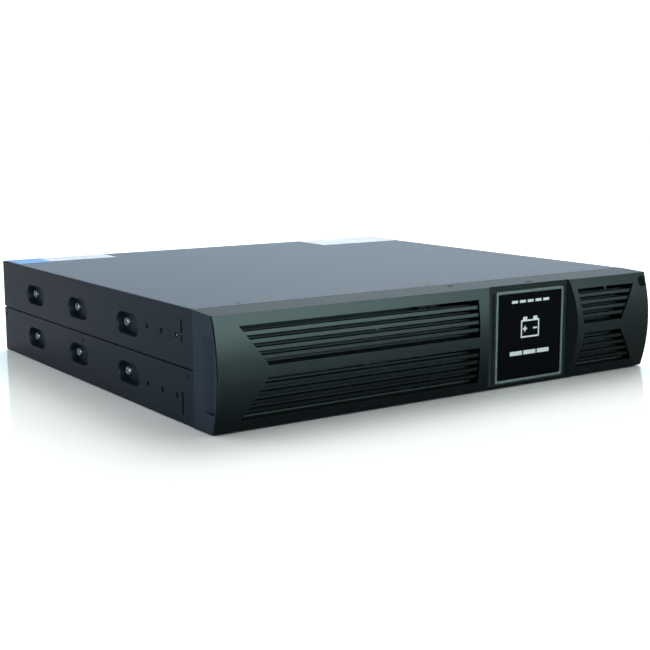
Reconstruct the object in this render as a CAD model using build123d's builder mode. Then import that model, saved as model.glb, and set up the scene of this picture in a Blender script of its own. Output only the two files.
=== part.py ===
from build123d import *
import math
import os

# A 2U external battery pack for a 19-inch rack.  Millimetres.
# X runs to the right seen from the front, Y to the rear, Z up.
# The origin is the middle of the chassis floor, on its underside.

# ---- driving dimensions: chassis ------------------------------------------------
CHASSIS_WIDTH = 438.0
CHASSIS_HEIGHT = 86.0
CHASSIS_DEPTH = 380.0
SHEET = 1.2
BEND_RADIUS = 1.6
HALF_WIDTH = CHASSIS_WIDTH / 2
FRONT = -CHASSIS_DEPTH / 2
REAR = CHASSIS_DEPTH / 2
WALL_INNER = HALF_WIDTH - SHEET
TOP_INNER = CHASSIS_HEIGHT - SHEET
SIDES = (1, -1)
FIT_GAP = 0.2

# The tray's side wall meets the cover's side wall at half height.
SEAM_Z = 42.1
SEAM_GAP = 1.4
TRAY_TOP = SEAM_Z - SEAM_GAP / 2
COVER_BOTTOM = SEAM_Z + SEAM_GAP / 2
FLANGE_OUTER = WALL_INNER - FIT_GAP
FLANGE_INNER = FLANGE_OUTER - SHEET
FLANGE_BOTTOM = 32.2
FRAME_OUTER = FLANGE_INNER - FIT_GAP
FRAME_INNER = FRAME_OUTER - SHEET

# Drawn pockets, rack ear holes, vent slits and screws of the side walls.
POCKET_Y = (109.0, 13.0, -84.0)
POCKET_Z = (22.2, 61.4)
POCKET_LENGTH = 38.0
POCKET_HEIGHT = 17.0
POCKET_DEPTH = 6.0
POCKET_LIP = 1.0
POCKET_FLOOR = HALF_WIDTH - POCKET_DEPTH
POCKET_REACH = 150.0
POCKET_SCREW_OFFSET = 11.0
POCKET_HOLE_R = 1.7
EAR_HOLE_Y = (-165.2, -141.6, -118.0)
EAR_HOLE_Z = (19.9, 64.35)
EAR_HOLE_R = 2.1
SLIT_Y = -173.6
SLIT_Z = (15.3, 68.3)
SLIT_LENGTH = 17.0
SLIT_WIDTH = 2.6
SIDE_SCREW_Y = (-182.2, 3.6, 184.0)
SIDE_SCREW_Z = 36.0
TOP_SCREW_X = (-177.0, 0.0, 177.0)
TOP_SCREW_Y = -182.2
SCREW_HEAD_R = 3.3
SCREW_SHANK_R = 1.9
SCREW_HOLE_R = 2.2
NUT_R = 3.9
NUT_LENGTH = 2.6

# ---- driving dimensions: battery modules ----------------------------------------
MODULE_X = (-106.5, 106.5)
MODULE_NAMES = ("left", "right")
BATTERY_LENGTH = 151.0
BATTERY_HEIGHT = 94.0
BATTERY_WIDTH = 65.0
BATTERY_LID = 10.0
BATTERY_WALL = 2.4
CELLS = 6
PLATE_SPACE = 4.0
MODULE_WIDTH = 204.0
MODULE_FRONT = -170.0
MODULE_REAR = 136.0
TRAY_Z = 3.0
TRAY_WALL_TOP = 40.0
INSULATION = 0.5
BATTERY_Z = TRAY_Z + SHEET + INSULATION
BATTERY_TOP = BATTERY_Z + BATTERY_WIDTH
BATTERY_FRONT_Y = MODULE_FRONT + SHEET + 0.8
PLUG_WIDTH = 22.0
BAY_GAP = 0.6
BAY_TOP = 81.0
PLATE_TOP = 80.4
LEAD_R = 2.5
TERMINAL_Z = 58.0
TERMINAL_INSET = 9.0

# ---- driving dimensions: bezel and badge ----------------------------------------
BEZEL_EDGE = FRONT - 27.6
BEZEL_NOSE = FRONT - 34.6
BEZEL_TOP_EDGE = 84.7
BEZEL_BOTTOM_EDGE = 1.3
BEZEL_WALL = 2.6
BEZEL_MID_Z = (BEZEL_TOP_EDGE + BEZEL_BOTTOM_EDGE) / 2
BEZEL_BULGE = BEZEL_EDGE - BEZEL_NOSE
HALF_CHORD = (BEZEL_TOP_EDGE - BEZEL_BOTTOM_EDGE) / 2
BEZEL_RADIUS = (HALF_CHORD ** 2 + BEZEL_BULGE ** 2) / (2 * BEZEL_BULGE)
BEZEL_CENTRE_Y = BEZEL_NOSE + BEZEL_RADIUS
INSERT_FRONT = BEZEL_NOSE + 13.5
INSERT_THICKNESS = 2.0
INSERT_BACK = INSERT_FRONT + INSERT_THICKNESS
SLAT_HEIGHT = 2.6
SLAT_DEPTH = 5.0
SLAT_SETBACK = 1.4
BADGE_X = 79.75
BADGE_SIZE = 75.6
BADGE_Z = 42.3
BADGE_CORNER = 2.0
RECESS_FLOOR = FRONT - 26.0
RECESS_HALF = 43.75
RECESS_SLOPE = 0.76
BADGE_FRONT = RECESS_FLOOR - 3.0
PLUG_X = 212.5
PLUG_Z = 77.5
PLUG_R = 4.6
PEG_X = 212.1
PEG_Z = (12.0, 70.0)
PEG_R = 1.4
PEG_BASE_R = 3.4

# Corners of the four grille openings, (x, z), seen from the front.
GRILLES = {
    "upper_left": ((-199.0, 76.3), (21.5, 76.3), (20.0, 46.9), (-176.8, 46.9)),
    "lower_left": ((-178.0, 38.3), (20.0, 38.3), (22.0, 8.8), (-198.5, 8.8)),
    "upper_right": ((132.5, 76.3), (201.5, 76.3), (183.0, 46.9), (137.5, 46.9)),
    "lower_right": ((138.0, 38.3), (182.5, 38.3), (202.0, 8.8), (133.0, 8.8)),
}

# ---- driving dimensions: rear end -----------------------------------------------
BREAKER_X = 0.0
BREAKER_WIDTH = 36.0
BREAKER_Z = (26.0, 76.0)
BREAKER_FRONT = 148.0
LEVER_Y = 184.0
LEVER_Z = 51.0
LEVER_HUB_R = 4.5
LEVER_WIDTH = 12.0
LEVER_REACH = 15.0
LEVER_TILT = 22.0
LEVER_SWING = 11.0
CONNECTOR_X = (-62.0, 62.0)
CONNECTOR_Z = 52.0
CONNECTOR_WIDTH = 38.0
CONNECTOR_HEIGHT = 20.0
CONNECTOR_FRONT = 158.0
CONNECTOR_BACK = REAR + 9.0
CAVITY_X = 9.0
CAVITY_WIDTH = 12.0
CAVITY_HEIGHT = 12.0
CAVITY_DEPTH = 22.0
DOCK_Z = (34.0, 46.0)
DOCK_OFFSET = -3.4
DOCK_SPLIT = 150.0
DOCK_BACK = 168.0
BRACKET_WIDTH = 40.0
BRACKET_TOP = 60.0
BRACKET_FOOT = 14.0
PIN_R = 2.2
STUD_R = 2.5
STUD_NUT_R = 4.2
STUD_Z = (36.0, 66.0)
BREAKER_FACE_HALF = 15.0
BREAKER_FACE_Z = (33.0, 69.0)
BREAKER_PIN_R = 1.25
CONNECTOR_SCREW_X = (-24.0, 24.0)
CONNECTOR_FLANGE_HALF = 29.0
CONTACT_HALF = 4.0
CONTACT_Z = (CONNECTOR_Z - 5.0, CONNECTOR_Z - 2.6)
PANEL_GAP = 0.3
PANEL_RETURN = 12.0
VENT_MIDDLE = (150.0, 44.0)
VENT_PITCH = 9.0
VENT_COUNT = 8
VENT_LENGTH = 42.0
VENT_WIDTH = 3.6
EARTH_X = -196.0
EARTH_Z = 18.0
EARTH_R = 3.0
EARTH_NUT_R = 5.8
EARTH_NUT_LENGTH = 4.5

os.makedirs("parts", exist_ok=True)


def save(piece, name):
    """Label a finished piece and write it out."""
    piece.label = name
    export_step(piece, f"parts/{name}.step")


def block(x, y, z, mode=Mode.ADD):
    """A straight-sided block between pairs of limits in X, Y and Z."""
    middle = ((x[0] + x[1]) / 2, (y[0] + y[1]) / 2, (z[0] + z[1]) / 2)
    with Locations(middle):
        Box(x[1] - x[0], y[1] - y[0], z[1] - z[0], mode=mode)


def rod(axis, centre, radius, start, end, mode=Mode.ADD):
    """A round bar along X, Y or Z; centre gives its two other coordinates."""
    middle = (start + end) / 2
    if axis == "x":
        place = Location((middle, centre[0], centre[1]), (0, 90, 0))
    elif axis == "y":
        place = Location((centre[0], middle, centre[1]), (90, 0, 0))
    else:
        place = Location((centre[0], centre[1], middle))
    with Locations(place):
        Cylinder(radius, end - start, mode=mode)


def around(middle, size):
    """Limits of a stretch of a given size about its middle."""
    return (middle - size / 2, middle + size / 2)


def across(side, first, second, centre=0.0):
    """X limits of a stretch between two distances out from a centre line."""
    return sorted((centre + side * first, centre + side * second))


def pockets(side, row, grown):
    """One wall's row of pockets as solids, grown all round by a wall thickness."""
    with BuildPart() as row_of_slots:
        with BuildSketch(Plane.YZ.offset(side * (POCKET_FLOOR - grown))):
            with Locations(*[(y, POCKET_Z[row]) for y in POCKET_Y]):
                SlotOverall(POCKET_LENGTH + 2 * grown, POCKET_HEIGHT + 2 * grown)
        extrude(amount=side * (POCKET_DEPTH + grown))
    return row_of_slots.part


def mouth_edges(shell, side, row):
    """The edges where one row of pockets meets the wall's outer face."""
    edges = shell.edges().filter_by_position(
        Axis.X, side * HALF_WIDTH - 0.01, side * HALF_WIDTH + 0.01)
    edges = edges.filter_by(lambda edge: abs(edge.center().Z - POCKET_Z[row]) < POCKET_HEIGHT / 2 + 1)
    return edges.filter_by(lambda edge: abs(edge.center().Y) < POCKET_REACH)


def wall_cuts(side, row):
    """Screw holes of the pockets, rack ear holes and the vent slit of one wall."""
    through = across(side, WALL_INNER - 1, HALF_WIDTH + 1)
    with BuildPart() as cuts:
        for y in POCKET_Y:
            rod("x", (y + POCKET_SCREW_OFFSET, POCKET_Z[row]), POCKET_HOLE_R,
                *across(side, POCKET_FLOOR - 2 * SHEET, POCKET_FLOOR + 1))
        for y in EAR_HOLE_Y:
            rod("x", (y, EAR_HOLE_Z[row]), EAR_HOLE_R, *through)
        block(through, around(SLIT_Y, SLIT_WIDTH), around(SLIT_Z[row], SLIT_LENGTH))
    return cuts.part


def front_surface(z):
    """Y of the bezel's curved front at a height."""
    return BEZEL_CENTRE_Y - math.sqrt(BEZEL_RADIUS ** 2 - (z - BEZEL_MID_Z) ** 2)


# ---- chassis: floor tray with the lower half of the side walls ------------------
with BuildPart() as base_tray:
    with BuildSketch(Plane.XZ.offset(FRONT)):
        with BuildLine():
            Polyline(
                (0, 0),
                (HALF_WIDTH, 0),
                (HALF_WIDTH, TRAY_TOP),
                (WALL_INNER, TRAY_TOP),
                (WALL_INNER, SHEET),
                (0, SHEET),
            )
            mirror(about=Plane.YZ)
        make_face()
    extrude(amount=CHASSIS_DEPTH)
    fillet(base_tray.edges().filter_by(Axis.Y).group_by(Axis.Z)[0], BEND_RADIUS)
    for side in SIDES:
        add(pockets(side, 0, SHEET))
        add(pockets(side, 0, 0), mode=Mode.SUBTRACT)
        fillet(mouth_edges(base_tray, side, 0), POCKET_LIP)
        add(wall_cuts(side, 0), mode=Mode.SUBTRACT)
        with Locations(*[Location((side * HALF_WIDTH, y, SIDE_SCREW_Z), (0, side * 90, 0))
                         for y in SIDE_SCREW_Y]):
            CounterSinkHole(SCREW_HOLE_R, SCREW_HEAD_R + 0.1, SHEET + 1)
save(base_tray.part, "base_tray")

# ---- chassis: cover with the upper half of the side walls -----------------------
with BuildPart() as top_cover:
    with BuildSketch(Plane.XZ.offset(FRONT)):
        with BuildLine():
            Polyline(
                (0, CHASSIS_HEIGHT),
                (HALF_WIDTH, CHASSIS_HEIGHT),
                (HALF_WIDTH, COVER_BOTTOM),
                (FLANGE_OUTER, COVER_BOTTOM),
                (FLANGE_OUTER, FLANGE_BOTTOM),
                (FLANGE_INNER, FLANGE_BOTTOM),
                (FLANGE_INNER, COVER_BOTTOM + SHEET),
                (WALL_INNER, COVER_BOTTOM + SHEET),
                (WALL_INNER, TOP_INNER),
                (0, TOP_INNER),
            )
            mirror(about=Plane.YZ)
        make_face()
    extrude(amount=CHASSIS_DEPTH)
    fillet(top_cover.edges().filter_by(Axis.Y).group_by(Axis.Z)[-1], BEND_RADIUS)
    for side in SIDES:
        add(pockets(side, 1, SHEET))
        add(pockets(side, 1, 0), mode=Mode.SUBTRACT)
        fillet(mouth_edges(top_cover, side, 1), POCKET_LIP)
        add(wall_cuts(side, 1), mode=Mode.SUBTRACT)
        for y in SIDE_SCREW_Y:
            rod("x", (y, SIDE_SCREW_Z), SCREW_HOLE_R,
                *across(side, FLANGE_INNER - 1, FLANGE_OUTER + 0.1),
                mode=Mode.SUBTRACT)
    with Locations(*[(x, TOP_SCREW_Y, CHASSIS_HEIGHT) for x in TOP_SCREW_X]):
        CounterSinkHole(SCREW_HOLE_R, SCREW_HEAD_R + 0.1, SHEET + 1)
save(top_cover.part, "top_cover")

# ---- chassis: front frame, a flanged plate with two open bays -------------------
FRAME_TOP = TOP_INNER - 0.1
FRAME_BOTTOM = SHEET + 0.1
FRAME_FLANGE = 14.0
BAY_HALF = MODULE_WIDTH / 2 + BAY_GAP
GROMMET_R = 2.25

with BuildPart() as front_frame:
    block((-FRAME_OUTER, FRAME_OUTER), (FRONT, FRONT + SHEET), (FRAME_BOTTOM, FRAME_TOP))
    block((-FRAME_OUTER, FRAME_OUTER), (FRONT, FRONT + FRAME_FLANGE),
          (FRAME_TOP - SHEET, FRAME_TOP))
    for side in SIDES:
        block(across(side, FRAME_INNER, FRAME_OUTER), (FRONT, FRONT + FRAME_FLANGE),
              (FRAME_BOTTOM, FRAME_TOP))
        rod("x", (SIDE_SCREW_Y[0], SIDE_SCREW_Z), SCREW_HOLE_R,
            *across(side, FRAME_INNER - 1, FRAME_OUTER + 1), mode=Mode.SUBTRACT)
        for z in PEG_Z:
            rod("y", (side * PEG_X, z), GROMMET_R + 0.05, FRONT - 1, FRONT + 3,
                mode=Mode.SUBTRACT)
    for x in MODULE_X:
        block((x - BAY_HALF, x + BAY_HALF), (FRONT - 1, FRONT + SHEET + 1),
              (FRAME_BOTTOM - 1, BAY_TOP), mode=Mode.SUBTRACT)
    for x in TOP_SCREW_X:
        rod("z", (x, TOP_SCREW_Y), SCREW_HOLE_R, FRAME_TOP - 3, FRAME_TOP + 1,
            mode=Mode.SUBTRACT)
save(front_frame.part, "front_frame")

# ---- chassis: rear panel, a shallow pan facing forward --------------------------
with BuildPart() as rear_panel:
    block((-FRAME_OUTER, FRAME_OUTER), (REAR - SHEET, REAR), (FRAME_BOTTOM, FRAME_TOP))
    for z in (FRAME_BOTTOM, FRAME_TOP - SHEET):
        block((-FRAME_OUTER, FRAME_OUTER), (REAR - PANEL_RETURN, REAR), (z, z + SHEET))
    for side in SIDES:
        block(across(side, FRAME_INNER, FRAME_OUTER), (REAR - PANEL_RETURN, REAR),
              (FRAME_BOTTOM, FRAME_TOP))
        rod("x", (SIDE_SCREW_Y[2], SIDE_SCREW_Z), SCREW_HOLE_R,
            *across(side, FRAME_INNER - 1, FRAME_OUTER + 1), mode=Mode.SUBTRACT)
        with BuildSketch(Plane.XZ.offset(-REAR - 1)):
            with Locations((side * VENT_MIDDLE[0], VENT_MIDDLE[1])):
                with GridLocations(VENT_PITCH, 0, VENT_COUNT, 1):
                    SlotOverall(VENT_LENGTH, VENT_WIDTH, rotation=90)
        extrude(amount=SHEET + 2, mode=Mode.SUBTRACT)
    for x in CONNECTOR_X:
        block(around(x, CONNECTOR_WIDTH + 2 * PANEL_GAP), (REAR - SHEET - 1, REAR + 1),
              around(CONNECTOR_Z, CONNECTOR_HEIGHT + 2 * PANEL_GAP), mode=Mode.SUBTRACT)
        for dx in CONNECTOR_SCREW_X:
            rod("y", (x + dx, CONNECTOR_Z), SCREW_SHANK_R + 0.1, REAR - 3, REAR + 1,
                mode=Mode.SUBTRACT)
    block(around(BREAKER_X, 2 * (BREAKER_FACE_HALF + PANEL_GAP)), (REAR - SHEET - 1, REAR + 1),
          (BREAKER_FACE_Z[0] - PANEL_GAP, BREAKER_FACE_Z[1] + PANEL_GAP), mode=Mode.SUBTRACT)
    rod("y", (EARTH_X, EARTH_Z), EARTH_R + 0.1, REAR - 3, REAR + 1, mode=Mode.SUBTRACT)
save(rear_panel.part, "rear_panel")

# ---- chassis: divider, guides, slide strips and cross rail ----------------------
DIVIDER_HALF = MODULE_X[1] - MODULE_WIDTH / 2 - BAY_GAP - 0.4
DIVIDER_TOP = 72.0
GUIDE_X = MODULE_X[1] + MODULE_WIDTH / 2 + BAY_GAP
GUIDE_TOP = 38.0
STRIP_X = 88.0
STRIP_WIDTH = 12.0

with BuildPart() as centre_divider:
    block((-DIVIDER_HALF, DIVIDER_HALF), (FRONT + 2, MODULE_REAR), (SHEET, DIVIDER_TOP))
    block((-DIVIDER_HALF + SHEET, DIVIDER_HALF - SHEET), (FRONT, MODULE_REAR + 2),
          (SHEET - 1, DIVIDER_TOP - SHEET), mode=Mode.SUBTRACT)
save(centre_divider.part, "centre_divider")

with BuildPart() as guide_rails:
    for side in SIDES:
        block(across(side, GUIDE_X, GUIDE_X + SHEET),
              (FRONT + 4, MODULE_REAR), (SHEET, GUIDE_TOP))
        block(across(side, GUIDE_X, FRAME_INNER - 1),
              (FRONT + 18, MODULE_REAR), (SHEET, 2 * SHEET))
save(guide_rails.part, "guide_rails")

with BuildPart() as slide_strips:
    for x in MODULE_X:
        for side in SIDES:
            block(around(x + side * STRIP_X, STRIP_WIDTH), (FRONT + 12, MODULE_REAR),
                  (SHEET, TRAY_Z - 0.3))
save(slide_strips.part, "slide_strips")

RAIL_BOTTOM = 71.6
RAIL_FRONT = MODULE_FRONT + 0.4
RAIL_DEPTH = 18.0
RETAINER_X = 84.0
RETAINER_Z = 76.2

with BuildPart() as top_cross_rail:
    block((-FRAME_INNER, FRAME_INNER), (RAIL_FRONT, RAIL_FRONT + SHEET),
          (RAIL_BOTTOM, FRAME_TOP))
    block((-FRAME_INNER, FRAME_INNER), (RAIL_FRONT, RAIL_FRONT + RAIL_DEPTH),
          (FRAME_TOP - SHEET, FRAME_TOP))
    block((-DIVIDER_HALF - 0.4, DIVIDER_HALF + 0.4), (RAIL_FRONT - 1, RAIL_FRONT + 3),
          (RAIL_BOTTOM - 1, DIVIDER_TOP + FIT_GAP), mode=Mode.SUBTRACT)
    for x in MODULE_X:
        for side in SIDES:
            rod("y", (x + side * RETAINER_X, RETAINER_Z), SCREW_HOLE_R, RAIL_FRONT - 1,
                RAIL_FRONT + 3, mode=Mode.SUBTRACT)
save(top_cross_rail.part, "top_cross_rail")


def countersunk_screw(radius, length):
    """A countersunk screw pointing down from the origin, with a cross recess."""
    with BuildPart() as screw:
        with BuildSketch(Plane.XZ):
            with BuildLine():
                Polyline(
                    (0, 0),
                    (SCREW_HEAD_R, 0),
                    (radius, radius - SCREW_HEAD_R),
                    (radius, -length),
                    (0, -length),
                    close=True,
                )
            make_face()
        revolve(axis=Axis.Z)
        for spin in (0, 90):
            with BuildSketch(Plane.XY.rotated((0, 0, spin))):
                Rectangle(3.6, 0.8)
            extrude(amount=-0.8, mode=Mode.SUBTRACT)
    return screw.part


def pan_screw(head_r, head_height, radius, length):
    """A pan-head screw: head above the origin, shank below, cross recess."""
    with BuildPart() as screw:
        with BuildSketch(Plane.XY):
            Circle(head_r)
        extrude(amount=head_height)
        fillet(screw.edges().group_by(Axis.Z)[-1], head_height * 0.45)
        with BuildSketch(Plane.XY):
            Circle(radius)
        extrude(amount=-length)
        for spin in (0, 90):
            with BuildSketch(Plane.XY.offset(head_height).rotated((0, 0, spin))):
                Rectangle(head_r * 1.1, head_r * 0.24)
            extrude(amount=-head_height * 0.5, mode=Mode.SUBTRACT)
    return screw.part


def nut_ring(outer, inner, length):
    """A round clinch nut standing up from the origin."""
    with BuildPart() as ring:
        with BuildSketch(Plane.XY):
            Circle(outer)
            Circle(inner, mode=Mode.SUBTRACT)
        extrude(amount=length)
    return ring.part


# ---- chassis: screws and clinch nuts --------------------------------------------
side_screw = countersunk_screw(SCREW_SHANK_R, 6.6)
top_screw = countersunk_screw(SCREW_SHANK_R, 5.4)
with BuildPart() as cover_screws:
    for side in SIDES:
        for y in SIDE_SCREW_Y:
            with Locations(Location((side * (HALF_WIDTH - 0.05), y, SIDE_SCREW_Z),
                                    (0, side * 90, 0))):
                add(side_screw)
    for x in TOP_SCREW_X:
        with Locations((x, TOP_SCREW_Y, CHASSIS_HEIGHT - 0.05)):
            add(top_screw)
save(cover_screws.part, "cover_screws")

clinch_nut = nut_ring(NUT_R, SCREW_SHANK_R + 0.05, NUT_LENGTH)
with BuildPart() as clinch_nuts:
    for side in SIDES:
        for y, face in zip(SIDE_SCREW_Y, (FRAME_INNER, FLANGE_INNER, FRAME_INNER)):
            with Locations(Location((side * face, y, SIDE_SCREW_Z), (0, -side * 90, 0))):
                add(clinch_nut)
    for x in TOP_SCREW_X:
        with Locations((x, TOP_SCREW_Y, FRAME_TOP - SHEET - NUT_LENGTH)):
            add(clinch_nut)
    for x in MODULE_X:
        for side in SIDES:
            with Locations(Location((x + side * RETAINER_X, RAIL_FRONT + SHEET, RETAINER_Z),
                                    (-90, 0, 0))):
                add(nut_ring(NUT_R, SCREW_HOLE_R, NUT_LENGTH))
    for side in SIDES:
        for z in EAR_HOLE_Z:
            for y in EAR_HOLE_Y:
                with Locations(Location((side * WALL_INNER, y, z), (0, -side * 90, 0))):
                    add(nut_ring(NUT_R, EAR_HOLE_R, NUT_LENGTH))
save(clinch_nuts.part, "clinch_nuts")

pocket_screw = pan_screw(3.4, 2.2, 1.6, 2.4)
with BuildPart() as pocket_screws:
    for side in SIDES:
        for z in POCKET_Z:
            for y in POCKET_Y:
                with Locations(Location((side * POCKET_FLOOR, y + POCKET_SCREW_OFFSET, z),
                                        (0, side * 90, 0))):
                    add(pocket_screw)
save(pocket_screws.part, "pocket_screws")

with BuildPart() as snap_grommets:
    for side in SIDES:
        for z in PEG_Z:
            with Locations(Location((side * PEG_X, FRONT + SHEET + 1.5, z), (90, 0, 0))):
                add(nut_ring(GROMMET_R, PEG_R + 0.3, SHEET + 1.4))
                add(nut_ring(GROMMET_R + 0.5, PEG_R + 0.3, 1.4))
save(snap_grommets.part, "snap_grommets")

# ---- battery modules, one on each side ------------------------------------------
STRAP_Y = (-94.0, 58.0)
STRAP_WIDTH = 14.0
STRAP_THICKNESS = 0.8
STRAP_SLOT = (28.0, 31.0)
DOCK_WALL_RISE = 16.0
BLADE_HALF = 3.15
BLADE_THICKNESS = 0.8
TAG_LENGTH = 6.0
TAG_HEIGHT = 8.0
LUG_FOOT = 14.0
LUG_FOOT_HEIGHT = 20.0
LUG_FOOT_THICKNESS = 2.0
RIVET_SPREAD = 5.0
RIVET_HOLE_R = 1.6
HANDLE_R = 3.0
HANDLE_Y = MODULE_FRONT - SHEET - HANDLE_R - 0.8
HANDLE_Z = 46.0
HANDLE_REACH = 25.0
HANDLE_HALF = 50.0
LUG_THICKNESS = 3.0
LUG_INNER = HANDLE_HALF + 4.0
LUG_FACE = MODULE_FRONT - SHEET - LUG_FOOT_THICKNESS
HANDLE_PIN_R = 1.95
PIN_END = LUG_INNER + LUG_THICKNESS
LUG_HALF = 3.7
RIVET_X = LUG_INNER + 9.0
RIVET_Z = (HANDLE_Z - RIVET_SPREAD, HANDLE_Z + RIVET_SPREAD)
LID_FACE = (MODULE_WIDTH / 2 - SHEET - 0.6) - BATTERY_HEIGHT


def battery_spans():
    """Y limits of the two batteries that lie one behind the other."""
    first = BATTERY_FRONT_Y
    second = first + BATTERY_LENGTH + 0.4
    return ((first, first + BATTERY_LENGTH), (second, second + BATTERY_LENGTH))


def lying(centre, side, start, end):
    """X limits of a stretch of battery, measured outwards from the lid's face."""
    return across(side, LID_FACE + start, LID_FACE + end, centre)


def lead(points, radii, radius):
    """A round lead along straight runs joined by tangent arcs."""
    with BuildPart() as tube:
        with BuildLine() as route:
            if radii:
                FilletPolyline(*points, radius=radii)
            else:
                Line(*points)
        with BuildSketch(Plane(origin=points[0],
                               z_dir=Vector(*points[1]) - Vector(*points[0]))):
            Circle(radius)
        sweep(path=route.wires()[0])
    return tube.part


for centre, name in zip(MODULE_X, MODULE_NAMES):
    half = MODULE_WIDTH / 2
    dock_x = centre + DOCK_OFFSET

    with BuildPart() as module_tray:
        block((centre - half, centre + half), (MODULE_FRONT, MODULE_REAR),
              (TRAY_Z, TRAY_Z + SHEET))
        for side in SIDES:
            block(across(side, half, half - SHEET, centre),
                  (MODULE_FRONT, MODULE_REAR), (TRAY_Z, TRAY_WALL_TOP))
        block((centre - half, centre + half), (MODULE_REAR - SHEET, MODULE_REAR),
              (TRAY_Z, TRAY_WALL_TOP + DOCK_WALL_RISE))
        for z in DOCK_Z:
            rod("y", (dock_x, z), LEAD_R + 0.4, MODULE_REAR - 3, MODULE_REAR + 1,
                mode=Mode.SUBTRACT)
        for side in SIDES:
            for y in STRAP_Y:
                block(across(side, half + 1, half - 3, centre), around(y, STRAP_WIDTH + 2),
                      STRAP_SLOT, mode=Mode.SUBTRACT)
    save(module_tray.part, f"{name}_module_tray")

    with BuildPart() as front_plate:
        block((centre - half, centre + half), (MODULE_FRONT - SHEET, MODULE_FRONT),
              (TRAY_Z, PLATE_TOP))
        for side in SIDES:
            block(across(side, half, half - SHEET, centre),
                  (MODULE_FRONT - 7, MODULE_FRONT), (TRAY_Z, PLATE_TOP))
            rod("y", (centre + side * RETAINER_X, RETAINER_Z), SCREW_HOLE_R, MODULE_FRONT - 3,
                MODULE_FRONT + 1, mode=Mode.SUBTRACT)
            for z in RIVET_Z:
                rod("y", (centre + side * RIVET_X, z), RIVET_HOLE_R, MODULE_FRONT - 3,
                    MODULE_FRONT + 1, mode=Mode.SUBTRACT)
    save(front_plate.part, f"{name}_module_front_plate")

    with BuildPart() as insulation:
        block((centre - half + SHEET + 0.4, centre + half - SHEET - 0.4),
              (MODULE_FRONT + 0.5, MODULE_REAR - SHEET - 0.5),
              (TRAY_Z + SHEET, BATTERY_Z))
    save(insulation.part, f"{name}_insulation_sheet")

    cell_pitch = (BATTERY_LENGTH - BATTERY_WALL) / CELLS
    with BuildPart() as cases:
        for side in SIDES:
            for start, end in battery_spans():
                block(lying(centre, side, BATTERY_LID, BATTERY_HEIGHT), (start, end),
                      (BATTERY_Z, BATTERY_TOP))
                for cell in range(CELLS):
                    cell_y = start + BATTERY_WALL + cell * cell_pitch
                    block(lying(centre, side, BATTERY_LID - 1, BATTERY_HEIGHT - BATTERY_WALL),
                          (cell_y, cell_y + cell_pitch - BATTERY_WALL),
                          (BATTERY_Z + BATTERY_WALL, BATTERY_TOP - BATTERY_WALL),
                          mode=Mode.SUBTRACT)
    save(cases.part, f"{name}_battery_cases")

    with BuildPart() as lids:
        for side in SIDES:
            for start, end in battery_spans():
                block(lying(centre, side, 0, BATTERY_LID), (start, end),
                      (BATTERY_Z, BATTERY_TOP))
                block(lying(centre, side, -0.1, 1.6), (start + 34, end - 34),
                      (BATTERY_Z + 12, BATTERY_TOP - 12), mode=Mode.SUBTRACT)
                for y in (start + TERMINAL_INSET, end - TERMINAL_INSET):
                    block(lying(centre, side, -0.1, 3.0), (y - 5, y + 5),
                          (TERMINAL_Z - 5, TERMINAL_Z + 5), mode=Mode.SUBTRACT)
    save(lids.part, f"{name}_battery_lids")

    with BuildPart() as plates:
        for side in SIDES:
            for start, end in battery_spans():
                for cell in range(CELLS):
                    cell_y = start + BATTERY_WALL + cell * cell_pitch
                    block(lying(centre, side, BATTERY_LID + 8, BATTERY_HEIGHT - BATTERY_WALL - 0.2),
                          (cell_y + PLATE_SPACE, cell_y + cell_pitch - BATTERY_WALL - PLATE_SPACE),
                          (BATTERY_Z + BATTERY_WALL + 0.2, BATTERY_TOP - BATTERY_WALL - 1.5))
    save(plates.part, f"{name}_plate_stacks")

    with BuildPart() as terminals:
        for side in SIDES:
            for start, end in battery_spans():
                for y in (start + TERMINAL_INSET, end - TERMINAL_INSET):
                    block(lying(centre, side, -4.6, 3.0), around(y, BLADE_THICKNESS),
                          around(TERMINAL_Z, 2 * BLADE_HALF))
                    block(lying(centre, side, 2.2, 3.0), around(y, TAG_HEIGHT),
                          around(TERMINAL_Z, TAG_HEIGHT))
    save(terminals.part, f"{name}_battery_terminals")

    front_pair, rear_pair = battery_spans()

    low, high = DOCK_Z
    y_front = front_pair[0] + TERMINAL_INSET
    y_middle = rear_pair[0] + TERMINAL_INSET
    lead_top = TERMINAL_Z - BLADE_HALF - 0.15
    mate = MODULE_REAR + 0.4
    with BuildPart() as leads:
        for y in (front_pair[1] - TERMINAL_INSET, rear_pair[1] - TERMINAL_INSET):
            block(around(centre, 2.8), around(y, TAG_LENGTH), around(TERMINAL_Z, TAG_HEIGHT))
            for side in SIDES:
                block(lying(centre, side, -4.9, -0.4), around(y, TAG_LENGTH),
                      around(TERMINAL_Z, TAG_HEIGHT))
                block(lying(centre, side, -4.8, 0), around(y, BLADE_THICKNESS + 0.2),
                      around(TERMINAL_Z, 2 * BLADE_HALF + 0.3), mode=Mode.SUBTRACT)
        add(lead([(dock_x, y_front, lead_top), (dock_x, y_front, low), (dock_x, mate, low)],
                 [12.0], LEAD_R))
        add(lead([(dock_x, y_middle, lead_top), (dock_x, y_middle, high), (dock_x, mate, high)],
                 [8.0], LEAD_R))
        add(lead([(centre - DOCK_OFFSET, y_front, lead_top),
                  (centre - DOCK_OFFSET, y_front, high),
                  (centre - DOCK_OFFSET, y_middle, high),
                  (centre - DOCK_OFFSET, y_middle, lead_top)], [8.0, 8.0], LEAD_R))
    save(leads.part, f"{name}_link_leads")

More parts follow.
